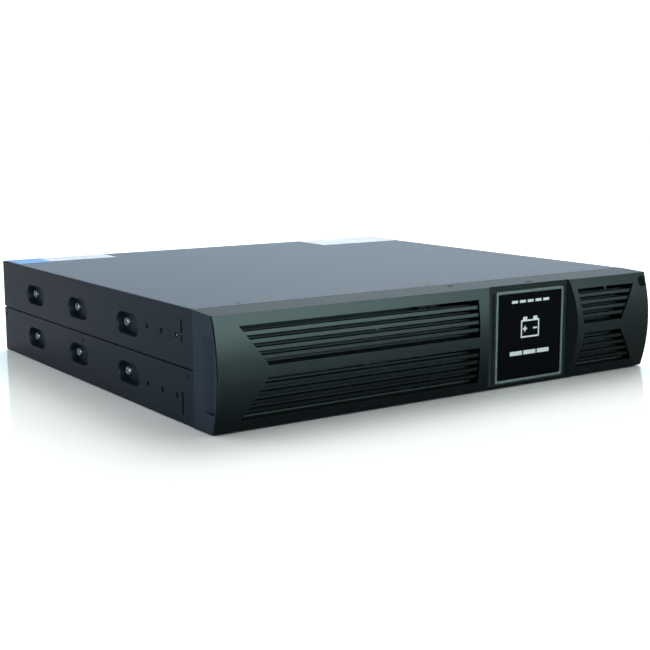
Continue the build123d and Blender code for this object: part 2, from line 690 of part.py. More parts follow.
    with BuildPart() as dock_plug:
        block(around(dock_x, PLUG_WIDTH), (mate, DOCK_SPLIT - 0.6), (low - 9, high + 9))
        fillet(dock_plug.edges().filter_by(Axis.Y), 1.5)
        for z in DOCK_Z:
            rod("y", (dock_x, z), PIN_R, DOCK_SPLIT - 8, DOCK_SPLIT + 1, mode=Mode.SUBTRACT)
    save(dock_plug.part, f"{name}_dock_plug")

    with BuildPart() as dock_pins:
        for z in DOCK_Z:
            rod("y", (dock_x, z), PIN_R, DOCK_SPLIT - 8, DOCK_SPLIT + 11)
            rod("y", (dock_x, z), PIN_R - 0.5, DOCK_SPLIT + 11, DOCK_SPLIT + 12.5)
    save(dock_pins.part, f"{name}_dock_pins")

    with BuildPart() as straps:
        strap_top = BATTERY_TOP + STRAP_THICKNESS
        for y in STRAP_Y:
            block((centre - half + 3, centre + half - 3), around(y, STRAP_WIDTH),
                  (BATTERY_TOP, strap_top))
            for side in SIDES:
                block(across(side, half - SHEET - 0.5, half - SHEET, centre),
                      around(y, STRAP_WIDTH), (STRAP_SLOT[0] + 1.5, BATTERY_TOP))
                block(across(side, half - 3, half - SHEET, centre), around(y, STRAP_WIDTH),
                      (BATTERY_TOP, strap_top))
    save(straps.part, f"{name}_hold_down_straps")

    with BuildPart() as lugs:
        for side in SIDES:
            lug_x = across(side, LUG_INNER, PIN_END, centre)
            block(lug_x, (HANDLE_Y, MODULE_FRONT - SHEET),
                  (HANDLE_Z - LUG_HALF, HANDLE_Z + LUG_HALF))
            rod("x", (HANDLE_Y, HANDLE_Z), LUG_HALF, *lug_x)
            block(across(side, LUG_INNER, LUG_INNER + LUG_FOOT, centre),
                  (LUG_FACE, LUG_FACE + LUG_FOOT_THICKNESS), around(HANDLE_Z, LUG_FOOT_HEIGHT))
            rod("x", (HANDLE_Y, HANDLE_Z), HANDLE_PIN_R + 0.35, lug_x[0] - 1, lug_x[1] + 1,
                mode=Mode.SUBTRACT)
            for z in RIVET_Z:
                rod("y", (centre + side * RIVET_X, z), RIVET_HOLE_R, MODULE_FRONT - 6,
                    MODULE_FRONT, mode=Mode.SUBTRACT)
    save(lugs.part, f"{name}_handle_lugs")

    retaining_screw = pan_screw(4.0, 3.0, SCREW_SHANK_R, 6.0)
    lug_rivet = pan_screw(2.8, 1.4, 1.55, 3.4)
    with BuildPart() as fasteners:
        for side in SIDES:
            with Locations(Location((centre + side * RETAINER_X, MODULE_FRONT - SHEET, RETAINER_Z),
                                    (90, 0, 0))):
                add(retaining_screw)
            for z in RIVET_Z:
                with Locations(Location((centre + side * RIVET_X, LUG_FACE, z), (90, 0, 0))):
                    add(lug_rivet)
    save(fasteners.part, f"{name}_module_fasteners")

    drop = HANDLE_Z - HANDLE_REACH
    with BuildPart() as handle:
        add(lead([(centre - HANDLE_HALF, HANDLE_Y, HANDLE_Z - 0.5),
                  (centre - HANDLE_HALF, HANDLE_Y, drop),
                  (centre + HANDLE_HALF, HANDLE_Y, drop),
                  (centre + HANDLE_HALF, HANDLE_Y, HANDLE_Z - 0.5)], [9.0, 9.0], HANDLE_R))
        for side in SIDES:
            rod("x", (HANDLE_Y, HANDLE_Z), HANDLE_R + 0.4,
                *across(side, HANDLE_HALF - 3, LUG_INNER - 0.4, centre))
            rod("x", (HANDLE_Y, HANDLE_Z), HANDLE_PIN_R,
                *across(side, HANDLE_HALF, PIN_END, centre))
    save(handle.part, f"{name}_handle")

# ---- bezel: a moulded cap with a curved front -----------------------------------
BEZEL_BACK = FRONT - 0.2
GRILLE_WALL = 1.8
SLATS = 4
BEYOND = 12.0
PAN_WALL = 2.2
SILL_TOP = 2.6
GRIP_Z = (15.0, 69.0)
GRIP_START = FRONT - 15.5
GRIP_END = BEZEL_EDGE - 2.0
GRIP_SLOPE = 0.22
GRIP_PAD = 4.2
BADGE_PEG = 28.0
BADGE_PEG_R = 1.4
WINDOW_PLACES = ((11.0, FRONT - 7.4), (85.5, FRONT - 20.0))


def bezel_solid(inset):
    """The bezel's outline as a solid, smaller on every side by inset."""
    edge = BEZEL_EDGE + inset
    back = BEZEL_BACK if inset == 0 else FRONT + 1
    with BuildPart() as solid:
        with BuildSketch(Plane.YZ.offset(inset - HALF_WIDTH)):
            with BuildLine():
                Polyline(
                    (edge, BEZEL_TOP_EDGE - inset),
                    (back, CHASSIS_HEIGHT - 0.1 - inset),
                    (back, 0.1 + inset),
                    (edge, BEZEL_BOTTOM_EDGE + inset),
                )
                ThreePointArc(
                    (edge, BEZEL_BOTTOM_EDGE + inset),
                    (BEZEL_NOSE + inset, BEZEL_MID_Z),
                    (edge, BEZEL_TOP_EDGE - inset),
                )
            make_face()
        extrude(amount=CHASSIS_WIDTH - 2 * inset)
    return solid.part


def side_limits(corners, z):
    """X limits of a grille opening at a height."""
    left_top, right_top, right_bottom, left_bottom = corners
    share = (z - left_bottom[1]) / (left_top[1] - left_bottom[1])
    left = left_bottom[0] + share * (left_top[0] - left_bottom[0])
    right = right_bottom[0] + share * (right_top[0] - right_bottom[0])
    return left, right


def bar_height(corners, step):
    """Height of a grille's bars, counted up from its lower edge."""
    low = corners[2][1]
    pitch = (corners[0][1] - low) / (SLATS + 1)
    return low + pitch * step


with BuildPart() as grille_walls:
    for corners in GRILLES.values():
        with BuildSketch(Plane.XZ.offset(0.1 - INSERT_FRONT)):
            with BuildLine():
                Polyline(*corners, close=True)
            make_face()
            offset(amount=GRILLE_WALL, kind=Kind.INTERSECTION)
        extrude(amount=BEYOND + 8)
    add(bezel_solid(0.6), mode=Mode.INTERSECT)

with BuildPart() as grille_slats:
    for corners in GRILLES.values():
        for step in range(1, SLATS + 1):
            z = bar_height(corners, step)
            left, right = side_limits(corners, z)
            back = front_surface(z) + SLAT_SETBACK + SLAT_DEPTH
            block((left - 1, right + 1), (BEZEL_NOSE - BEYOND, back),
                  (z - SLAT_HEIGHT / 2, z + SLAT_HEIGHT / 2))
    add(bezel_solid(SLAT_SETBACK), mode=Mode.INTERSECT)

with BuildPart() as recess_pan:
    with BuildSketch(Plane.XY.offset(0.4)):
        with BuildLine():
            Polyline(
                (BADGE_X - RECESS_HALF - PAN_WALL, RECESS_FLOOR + PAN_WALL),
                (BADGE_X + RECESS_HALF + PAN_WALL, RECESS_FLOOR + PAN_WALL),
                (BADGE_X + RECESS_HALF + PAN_WALL + RECESS_SLOPE * BEYOND, RECESS_FLOOR - BEYOND),
                (BADGE_X - RECESS_HALF - PAN_WALL - RECESS_SLOPE * BEYOND, RECESS_FLOOR - BEYOND),
                close=True,
            )
        make_face()
    extrude(amount=CHASSIS_HEIGHT)
    add(bezel_solid(0.4), mode=Mode.INTERSECT)

with BuildPart() as bezel_bosses:
    for side in SIDES:
        block(across(side, HALF_WIDTH - BEZEL_WALL - GRIP_PAD, HALF_WIDTH),
              (BEZEL_NOSE, GRIP_START + 2), (GRIP_Z[0] - 3, GRIP_Z[1] + 3))
        for z in PEG_Z:
            rod("y", (side * PEG_X, z), PEG_BASE_R, BEZEL_NOSE, FRONT - 2)
            rod("y", (side * PEG_X, z), PEG_R, FRONT - 3, FRONT + 0.9)
    rod("y", (PLUG_X, PLUG_Z), PLUG_R + 1.6, BEZEL_NOSE, FRONT - 16)
    add(bezel_solid(0.5), mode=Mode.INTERSECT)
    for side in SIDES:
        for z in PEG_Z:
            rod("y", (side * PEG_X, z), PEG_R, FRONT - 3, FRONT + 6)

with BuildPart() as bezel_shell:
    add(bezel_solid(0))
    fillet(bezel_shell.edges().filter_by(GeomType.CIRCLE), 1.2)
    add(bezel_solid(BEZEL_WALL), mode=Mode.SUBTRACT)
    add(grille_walls.part)
    add(recess_pan.part)
    add(bezel_bosses.part)
    for corners in GRILLES.values():
        with BuildSketch(Plane.XZ.offset(-INSERT_FRONT)):
            with BuildLine():
                Polyline(*corners, close=True)
            make_face()
        extrude(amount=BEYOND + 8, mode=Mode.SUBTRACT)
    add(grille_slats.part)
    with BuildSketch(Plane.XY.offset(SILL_TOP)):
        with BuildLine():
            Polyline(
                (BADGE_X - RECESS_HALF, RECESS_FLOOR),
                (BADGE_X + RECESS_HALF, RECESS_FLOOR),
                (BADGE_X + RECESS_HALF + RECESS_SLOPE * BEYOND, RECESS_FLOOR - BEYOND),
                (BADGE_X - RECESS_HALF - RECESS_SLOPE * BEYOND, RECESS_FLOOR - BEYOND),
                close=True,
            )
        make_face()
    extrude(amount=CHASSIS_HEIGHT, mode=Mode.SUBTRACT)
    for side in SIDES:
        with BuildSketch(Plane.XY.offset(GRIP_Z[0])):
            with BuildLine():
                Polyline(
                    (side * HALF_WIDTH, GRIP_START),
                    (side * (HALF_WIDTH + 1), GRIP_START),
                    (side * (HALF_WIDTH + 1), GRIP_END),
                    (side * (HALF_WIDTH - GRIP_SLOPE * (GRIP_START - GRIP_END)), GRIP_END),
                    close=True,
                )
            make_face()
        extrude(amount=GRIP_Z[1] - GRIP_Z[0], mode=Mode.SUBTRACT)
    for x, y in WINDOW_PLACES:
        block((x - 3, x + 3), (y - 1.4, y + 1.4), (CHASSIS_HEIGHT - 6, CHASSIS_HEIGHT + 1),
              mode=Mode.SUBTRACT)
    rod("y", (PLUG_X, PLUG_Z), PLUG_R, BEZEL_NOSE - 2, FRONT - 18, mode=Mode.SUBTRACT)
    for dx in (-BADGE_PEG, BADGE_PEG):
        for dz in (-BADGE_PEG, BADGE_PEG):
            rod("y", (BADGE_X + dx, BADGE_Z + dz), BADGE_PEG_R + 0.4, RECESS_FLOOR - 2,
                RECESS_FLOOR + PAN_WALL + 2, mode=Mode.SUBTRACT)
save(bezel_shell.part, "bezel_shell")

with BuildPart() as corner_plug:
    rod("y", (PLUG_X, PLUG_Z), PLUG_R, front_surface(PLUG_Z) + 1.6, FRONT - 18)
save(corner_plug.part, "corner_plug")

INSERT_LIMITS = {"left": (-206.0, 27.0), "right": (128.0, 206.0)}
for name, limits in INSERT_LIMITS.items():
    with BuildPart() as insert:
        block(limits, (INSERT_FRONT, INSERT_BACK), (5.6, 79.6))
        for level in ("upper", "lower"):
            corners = GRILLES[f"{level}_{name}"]
            for step in range(SLATS + 1):
                low = bar_height(corners, step) + 1.3
                high = bar_height(corners, step + 1) - 0.7
                left, right = side_limits(corners, (low + high) / 2)
                block((left + 0.5, right - 0.5), (INSERT_FRONT - 1, INSERT_BACK + 1),
                      (low, high), mode=Mode.SUBTRACT)
    save(insert.part, f"{name}_louvre_insert")

# ---- badge: a square frame with a glossy plate, held by four pegs ---------------
BADGE_BACK = RECESS_FLOOR - 0.05
PLATE_SIZE = 70.8

with BuildPart() as badge_frame:
    with BuildSketch(Plane.XZ.offset(-BADGE_BACK)):
        with Locations((BADGE_X, BADGE_Z)):
            RectangleRounded(BADGE_SIZE, BADGE_SIZE, BADGE_CORNER)
    extrude(amount=BADGE_BACK - BADGE_FRONT)
    with BuildSketch(Plane.XZ.offset(-BADGE_FRONT)):
        with Locations((BADGE_X, BADGE_Z)):
            RectangleRounded(PLATE_SIZE + 0.2, PLATE_SIZE + 0.2, BADGE_CORNER / 2)
    extrude(amount=-1.6, mode=Mode.SUBTRACT)
    fillet(badge_frame.edges().filter_by_position(Axis.Y, BADGE_FRONT - 0.01,
                                                  BADGE_FRONT + 0.01), 0.5)
    for dx in (-BADGE_PEG, BADGE_PEG):
        for dz in (-BADGE_PEG, BADGE_PEG):
            rod("y", (BADGE_X + dx, BADGE_Z + dz), BADGE_PEG_R, BADGE_BACK - 1, BADGE_BACK + 5)
save(badge_frame.part, "badge_frame")

with BuildPart() as badge_plate:
    with BuildSketch(Plane.XZ.offset(-BADGE_FRONT - 1.6)):
        with Locations((BADGE_X, BADGE_Z)):
            RectangleRounded(PLATE_SIZE, PLATE_SIZE, BADGE_CORNER / 2)
    extrude(amount=1.4)
save(badge_plate.part, "badge_plate")

# ---- rear end: breaker, power connectors, dock sockets and bus bars -------------
BREAKER_POLE = 9.0
LEAD_Y = 145.0

with BuildPart() as circuit_breaker:
    block(around(BREAKER_X, BREAKER_WIDTH), (BREAKER_FRONT, REAR - SHEET - 0.1), BREAKER_Z)
    block(around(BREAKER_X, 2 * BREAKER_FACE_HALF), (REAR - 3, REAR + 1.5), BREAKER_FACE_Z)
    fillet(circuit_breaker.edges().filter_by(Axis.Y), 1.0)
    block(around(BREAKER_X, LEVER_WIDTH + 1), (LEVER_Y - LEVER_HUB_R - 0.6, REAR + 3),
          around(LEVER_Z, 2 * LEVER_SWING), mode=Mode.SUBTRACT)
    rod("x", (LEVER_Y, LEVER_Z), BREAKER_PIN_R, BREAKER_X - 12, BREAKER_X + 12, mode=Mode.SUBTRACT)
    for dx in (-BREAKER_POLE, BREAKER_POLE):
        for z in STUD_Z:
            rod("y", (BREAKER_X + dx, z), STUD_R + 0.05, BREAKER_FRONT - 1, BREAKER_FRONT + 6,
                mode=Mode.SUBTRACT)
save(circuit_breaker.part, "circuit_breaker")

with BuildPart() as breaker_terminals:
    for dx in (-BREAKER_POLE, BREAKER_POLE):
        for z in STUD_Z:
            rod("y", (BREAKER_X + dx, z), STUD_R, BREAKER_FRONT - 6, BREAKER_FRONT + 6)
            rod("y", (BREAKER_X + dx, z), STUD_NUT_R, BREAKER_FRONT - 5, BREAKER_FRONT - 1)
save(breaker_terminals.part, "breaker_terminals")

with BuildPart() as pivot_pin:
    rod("x", (LEVER_Y, LEVER_Z), BREAKER_PIN_R, BREAKER_X - 11.5, BREAKER_X + 11.5)
save(pivot_pin.part, "breaker_pivot_pin")

with BuildPart() as straight_lever:
    rod("x", (LEVER_Y, LEVER_Z), LEVER_HUB_R, BREAKER_X - LEVER_WIDTH / 2,
        BREAKER_X + LEVER_WIDTH / 2)
    with BuildSketch(Plane.YZ.offset(BREAKER_X - LEVER_WIDTH / 2)):
        with BuildLine():
            Polyline(
                (LEVER_Y, LEVER_Z - 3.6),
                (LEVER_Y + LEVER_REACH, LEVER_Z - 2.0),
                (LEVER_Y + LEVER_REACH, LEVER_Z + 2.0),
                (LEVER_Y, LEVER_Z + 3.6),
                close=True,
            )
        make_face()
    extrude(amount=LEVER_WIDTH)
    tip = straight_lever.edges().filter_by(Axis.X).group_by(Axis.Y)[-1]
    fillet(tip, 1.2)
    rod("x", (LEVER_Y, LEVER_Z), BREAKER_PIN_R + FIT_GAP + 0.1, BREAKER_X - 8, BREAKER_X + 8,
        mode=Mode.SUBTRACT)
lever_axis = Axis((BREAKER_X, LEVER_Y, LEVER_Z), (1, 0, 0))
with BuildPart() as breaker_lever:
    add(straight_lever.part.rotate(lever_axis, LEVER_TILT))
save(breaker_lever.part, "breaker_lever")

with BuildPart() as connector_housings:
    for x in CONNECTOR_X:
        block(around(x, CONNECTOR_WIDTH), (CONNECTOR_FRONT, CONNECTOR_BACK),
              around(CONNECTOR_Z, CONNECTOR_HEIGHT))
        block(around(x, 2 * CONNECTOR_FLANGE_HALF), (REAR, REAR + 2.5),
              around(CONNECTOR_Z, CONNECTOR_HEIGHT + 4))
        for dx in (-CAVITY_X, CAVITY_X):
            block(around(x + dx, CAVITY_WIDTH), (CONNECTOR_BACK - CAVITY_DEPTH, CONNECTOR_BACK + 1),
                  around(CONNECTOR_Z, CAVITY_HEIGHT), mode=Mode.SUBTRACT)
            block(around(x + dx, 2 * CONTACT_HALF), (CONNECTOR_FRONT - 1, CONNECTOR_BACK),
                  CONTACT_Z, mode=Mode.SUBTRACT)
        for dx in CONNECTOR_SCREW_X:
            rod("y", (x + dx, CONNECTOR_Z), SCREW_SHANK_R + 0.1, REAR - 1, REAR + 4,
                mode=Mode.SUBTRACT)
save(connector_housings.part, "connector_housings")

with BuildPart() as contacts:
    for x in CONNECTOR_X:
        for dx in (-CAVITY_X, CAVITY_X):
            block(around(x + dx, 2 * CONTACT_HALF), (CONNECTOR_FRONT, CONNECTOR_BACK - 6),
                  CONTACT_Z)
save(contacts.part, "connector_contacts")

connector_screw = pan_screw(3.5, 2.4, SCREW_SHANK_R, 7.0)
with BuildPart() as connector_screws:
    for x in CONNECTOR_X:
        for dx in CONNECTOR_SCREW_X:
            with Locations(Location((x + dx, REAR + 2.5, CONNECTOR_Z), (-90, 0, 0))):
                add(connector_screw)
save(connector_screws.part, "connector_screws")

with BuildPart() as dock_sockets:
    for centre in MODULE_X:
        dock_x = centre + DOCK_OFFSET
        block(around(dock_x, PLUG_WIDTH + 2), (DOCK_SPLIT, DOCK_BACK),
              (DOCK_Z[0] - 10, DOCK_Z[1] + 10))
        for z in DOCK_Z:
            rod("y", (dock_x, z), PIN_R + 0.4, DOCK_SPLIT - 1, DOCK_BACK - 4,
                mode=Mode.SUBTRACT)
save(dock_sockets.part, "dock_sockets")

with BuildPart() as dock_brackets:
    for centre in MODULE_X:
        dock_x = centre + DOCK_OFFSET
        block(around(dock_x, BRACKET_WIDTH), (DOCK_BACK, DOCK_BACK + SHEET), (SHEET, BRACKET_TOP))
        block(around(dock_x, BRACKET_WIDTH), (DOCK_BACK - BRACKET_FOOT, DOCK_BACK + SHEET),
              (SHEET, 2 * SHEET))
        for z in DOCK_Z:
            rod("y", (dock_x, z), LEAD_R + 0.3, DOCK_BACK - 1, DOCK_BACK + 3,
                mode=Mode.SUBTRACT)
save(dock_brackets.part, "dock_brackets")

POSITIVE_Y = 174.5
NEGATIVE_Y = 183.5
BUS_TOP = 8.0
BUS_HALF = 116.0
BUS_WIDTH = 6.0
BUS_THICKNESS = 2.0
SUPPORT_X = (-86.0, 32.0, 86.0)
SUPPORT_WIDTH = 10.0

with BuildPart() as bus_bars:
    for y in (POSITIVE_Y, NEGATIVE_Y):
        block((-BUS_HALF, BUS_HALF), around(y, BUS_WIDTH), (BUS_TOP - BUS_THICKNESS, BUS_TOP))
save(bus_bars.part, "bus_bars")

with BuildPart() as bus_supports:
    for x in SUPPORT_X:
        block(around(x, SUPPORT_WIDTH), (POSITIVE_Y - 4.5, NEGATIVE_Y - 6), (SHEET, BUS_TOP + 2))
        block(around(x, SUPPORT_WIDTH), (POSITIVE_Y - 4.5, NEGATIVE_Y + 4.5), (2.6, BUS_TOP + 2))
        for y in (POSITIVE_Y, NEGATIVE_Y):
            block(around(x, SUPPORT_WIDTH + 2), around(y, BUS_WIDTH + 0.1),
                  (BUS_TOP - BUS_THICKNESS - 0.05, BUS_TOP + 0.05), mode=Mode.SUBTRACT)
save(bus_supports.part, "bus_bar_supports")


def leads_from(routes):
    """Several leads in one node, each given as its points and corner radii."""
    with BuildPart() as bunch:
        for points, radii in routes:
            add(lead(points, radii, LEAD_R))
    return bunch.part


LOW_RUN = 14.0
HIGH_RUN = 78.0
STUD_LOW = STUD_Z[0] - STUD_NUT_R
STUD_HIGH = STUD_Z[1] + STUD_NUT_R
STUD_SIDE = BREAKER_POLE + STUD_NUT_R
CONTACT_TOP = CONTACT_Z[1]
output_x, expansion_x = CONNECTOR_X
docks = [centre + DOCK_OFFSET for centre in MODULE_X]

positive_routes = [
    ([(x, DOCK_BACK, DOCK_Z[0]), (x, POSITIVE_Y, DOCK_Z[0]), (x, POSITIVE_Y, BUS_TOP)], [6.0])
    for x in docks
]
positive_routes += [
    ([(-BREAKER_POLE, LEAD_Y, STUD_LOW), (-BREAKER_POLE, LEAD_Y, LOW_RUN),
      (-BREAKER_POLE, POSITIVE_Y, LOW_RUN), (-BREAKER_POLE, POSITIVE_Y, BUS_TOP)], [10.0, 5.0]),
    ([(-STUD_SIDE, LEAD_Y, STUD_Z[1]), (output_x + CAVITY_X, LEAD_Y, STUD_Z[1]),
      (output_x + CAVITY_X, LEAD_Y, CONTACT_TOP), (output_x + CAVITY_X, CONNECTOR_FRONT, CONTACT_TOP)],
     [8.0, 7.0]),
    ([(expansion_x - CAVITY_X, CONNECTOR_FRONT, CONTACT_TOP),
      (expansion_x - CAVITY_X, LEAD_Y, CONTACT_TOP), (expansion_x - CAVITY_X, LEAD_Y, LOW_RUN),
      (expansion_x - CAVITY_X, POSITIVE_Y, LOW_RUN), (expansion_x - CAVITY_X, POSITIVE_Y, BUS_TOP)],
     [7.0, 10.0, 5.0]),
]
save(leads_from(positive_routes), "positive_leads")

negative_routes = [
    ([(x, DOCK_BACK, DOCK_Z[1]), (x, NEGATIVE_Y, DOCK_Z[1]), (x, NEGATIVE_Y, BUS_TOP)], [12.0])
    for x in docks
]
negative_routes += [
    ([(BREAKER_POLE, LEAD_Y, STUD_LOW), (BREAKER_POLE, LEAD_Y, LOW_RUN),
      (BREAKER_POLE, NEGATIVE_Y, LOW_RUN), (BREAKER_POLE, NEGATIVE_Y, BUS_TOP)], [10.0, 5.0]),
    ([(BREAKER_POLE, LEAD_Y, STUD_HIGH), (BREAKER_POLE, LEAD_Y, HIGH_RUN),
      (output_x - CAVITY_X, LEAD_Y, HIGH_RUN), (output_x - CAVITY_X, LEAD_Y, CONTACT_TOP),
      (output_x - CAVITY_X, CONNECTOR_FRONT, CONTACT_TOP)], [6.0, 9.0, 7.0]),
    ([(expansion_x + CAVITY_X, CONNECTOR_FRONT, CONTACT_TOP),
      (expansion_x + CAVITY_X, LEAD_Y, CONTACT_TOP), (expansion_x + CAVITY_X, LEAD_Y, LOW_RUN),
      (expansion_x + CAVITY_X, NEGATIVE_Y, LOW_RUN), (expansion_x + CAVITY_X, NEGATIVE_Y, BUS_TOP)],
     [7.0, 10.0, 5.0]),
]
save(leads_from(negative_routes), "negative_leads")

with BuildPart() as earth_terminal:
    rod("y", (EARTH_X, EARTH_Z), EARTH_R, REAR - 8, REAR + 12)
    for y in (REAR - SHEET, REAR + EARTH_NUT_LENGTH):
        with BuildSketch(Plane.XZ.offset(-y)):
            with Locations((EARTH_X, EARTH_Z)):
                RegularPolygon(EARTH_NUT_R, 6)
                Circle(EARTH_R + 0.05, mode=Mode.SUBTRACT)
        extrude(amount=EARTH_NUT_LENGTH)
save(earth_terminal.part, "earth_terminal")
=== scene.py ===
import math

import bmesh
import bpy
from mathutils import Euler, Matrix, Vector


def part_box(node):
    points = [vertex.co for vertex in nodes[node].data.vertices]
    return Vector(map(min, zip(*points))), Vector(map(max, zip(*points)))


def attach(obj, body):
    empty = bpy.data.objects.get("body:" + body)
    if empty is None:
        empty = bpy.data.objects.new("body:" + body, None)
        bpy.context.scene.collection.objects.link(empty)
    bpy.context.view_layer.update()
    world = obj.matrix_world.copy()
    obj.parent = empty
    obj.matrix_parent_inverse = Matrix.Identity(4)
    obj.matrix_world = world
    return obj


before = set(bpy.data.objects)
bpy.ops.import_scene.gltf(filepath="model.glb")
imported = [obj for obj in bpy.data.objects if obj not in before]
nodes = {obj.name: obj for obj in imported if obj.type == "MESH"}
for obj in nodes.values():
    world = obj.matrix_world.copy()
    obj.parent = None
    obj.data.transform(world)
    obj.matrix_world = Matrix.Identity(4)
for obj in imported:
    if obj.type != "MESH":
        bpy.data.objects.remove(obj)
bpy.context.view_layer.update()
scene = bpy.context.scene

# ---- camera: the photograph's viewpoint, to the left of the front and a little above ----
SENSOR_MM = 36.0
LENS_MM = 66.29
FARTHEST_SEEN = 50
CAMERA_PLACE = (-0.6115, -0.9258, 0.2118)
CAMERA_PITCH = 9.394
CAMERA_ROLL = 0.105
CAMERA_YAW = 34.519

camera_data = bpy.data.cameras.new("camera")
camera_data.sensor_width = SENSOR_MM
camera_data.lens = LENS_MM
camera_data.clip_end = FARTHEST_SEEN
camera = bpy.data.objects.new("camera", camera_data)
camera.location = CAMERA_PLACE
camera.rotation_euler = Euler(
    (math.radians(90 - CAMERA_PITCH), math.radians(CAMERA_ROLL), math.radians(-CAMERA_YAW)))
scene.collection.objects.link(camera)
scene.camera = camera


# ---- node-tree helpers ------------------------------------------------------------------
# Noise seldom leaves this range, so colours and roughness are spread over it.
NOISE_LOW = 0.3
NOISE_HIGH = 0.7


def new_material(name):
    """An empty material with its shader and output in place."""
    material = bpy.data.materials.new(name)
    material.use_nodes = True
    tree = material.node_tree
    tree.nodes.clear()
    shader = tree.nodes.new("ShaderNodeBsdfPrincipled")
    output = tree.nodes.new("ShaderNodeOutputMaterial")
    tree.links.new(shader.outputs["BSDF"], output.inputs["Surface"])
    return material, tree, shader


def object_coordinates(tree, scale=(1, 1, 1)):
    """Object coordinates, stretched along the axes."""
    place = tree.nodes.new("ShaderNodeTexCoord")
    mapping = tree.nodes.new("ShaderNodeMapping")
    mapping.inputs["Scale"].default_value = scale
    tree.links.new(place.outputs["Object"], mapping.inputs["Vector"])
    return mapping.outputs["Vector"]


def noise(tree, vector, scale, detail=3.0, roughness=0.55):
    """A noise value from 0 to 1."""
    node = tree.nodes.new("ShaderNodeTexNoise")
    node.inputs["Scale"].default_value = scale
    node.inputs["Detail"].default_value = detail
    node.inputs["Roughness"].default_value = roughness
    tree.links.new(vector, node.inputs["Vector"])
    return node.outputs["Fac"]


def ramp(tree, value, low, high):
    """Spread a noise value over a range."""
    node = tree.nodes.new("ShaderNodeMapRange")
    node.inputs["From Min"].default_value = NOISE_LOW
    node.inputs["From Max"].default_value = NOISE_HIGH
    node.inputs["To Min"].default_value = low
    node.inputs["To Max"].default_value = high
    tree.links.new(value, node.inputs["Value"])
    return node.outputs["Result"]


def mix_colour(tree, value, first, second):
    """A colour between two, chosen by a noise value."""
    node = tree.nodes.new("ShaderNodeValToRGB")
    node.color_ramp.elements[0].position = NOISE_LOW
    node.color_ramp.elements[0].color = (*first, 1)
    node.color_ramp.elements[1].position = NOISE_HIGH
    node.color_ramp.elements[1].color = (*second, 1)
    tree.links.new(value, node.inputs["Fac"])
    return node.outputs["Color"]


def math_node(tree, operation, first, second=None):
    """The result of an operation on one value, or on two, of which the second may be a number."""
    node = tree.nodes.new("ShaderNodeMath")
    node.operation = operation
    tree.links.new(first, node.inputs[0])
    if isinstance(second, (int, float)):
        node.inputs[1].default_value = second
    elif second is not None:
        tree.links.new(second, node.inputs[1])
    return node.outputs[0]


def add_bump(tree, shader, height, strength, distance):
    """Surface relief from a height value."""
    node = tree.nodes.new("ShaderNodeBump")
    node.inputs["Strength"].default_value = strength
    node.inputs["Distance"].default_value = distance
    tree.links.new(height, node.inputs["Height"])
    tree.links.new(node.outputs["Normal"], shader.inputs["Normal"])


def textured(name, first, second, rough, grain, relief, metallic=0.0, specular=0.5,
             stretch=(1, 1, 1), patch=9.0):
    """A material whose colour drifts between two and whose roughness and relief have a fine grain.

    rough is the roughness range, grain and patch are the fine and the broad noise scales, and
    relief is the bump's strength and height.
    """
    material, tree, shader = new_material(name)
    vector = object_coordinates(tree, stretch)
    broad = noise(tree, vector, patch, 4.0)
    fine = noise(tree, vector, grain, 2.0)
    tree.links.new(mix_colour(tree, broad, first, second), shader.inputs["Base Color"])
    tree.links.new(ramp(tree, fine, *rough), shader.inputs["Roughness"])
    shader.inputs["Metallic"].default_value = metallic
    shader.inputs["Specular IOR Level"].default_value = specular
    add_bump(tree, shader, fine, *relief)
    return material


# Where the bezel's surface looks sideways near its ends, its colour is made paler as painted sheen.
SIDEWAYS = (0.80, 0.95)
END_DEPTH = 0.014
END_BLEND = 0.002


def outward(tree, vector, low, high):
    """How far a vector's X reaches, either way: 0 below low and 1 above high."""
    split = tree.nodes.new("ShaderNodeSeparateXYZ")
    tree.links.new(vector, split.inputs["Vector"])
    reach = tree.nodes.new("ShaderNodeMapRange")
    reach.inputs["From Min"].default_value = low
    reach.inputs["From Max"].default_value = high
    tree.links.new(math_node(tree, "ABSOLUTE", split.outputs["X"]), reach.inputs["Value"])
    return reach.outputs["Result"]


def painted_sheen_ends(material, half_width, colour):
    """Paint the bezel's two end faces, with their finger recesses, paler where the surface looks along
    X: a painted sheen, not a colour of their own.
    """
    tree = material.node_tree
    shader = next(node for node in tree.nodes if node.type == "BSDF_PRINCIPLED")
    plain = shader.inputs["Base Color"].links[0].from_socket
    place = tree.nodes.new("ShaderNodeTexCoord")
    looks_sideways = outward(tree, place.outputs["Normal"], *SIDEWAYS)
    near_end = outward(tree, place.outputs["Object"], half_width - END_DEPTH,
                       half_width - END_DEPTH + END_BLEND)
    mixed = tree.nodes.new("ShaderNodeMix")
    mixed.data_type = "RGBA"
    mixed.inputs[7].default_value = (*colour, 1)
    tree.links.new(math_node(tree, "MULTIPLY", looks_sideways, near_end), mixed.inputs[0])
    tree.links.new(plain, mixed.inputs[6])
    tree.links.new(mixed.outputs[2], shader.inputs["Base Color"])


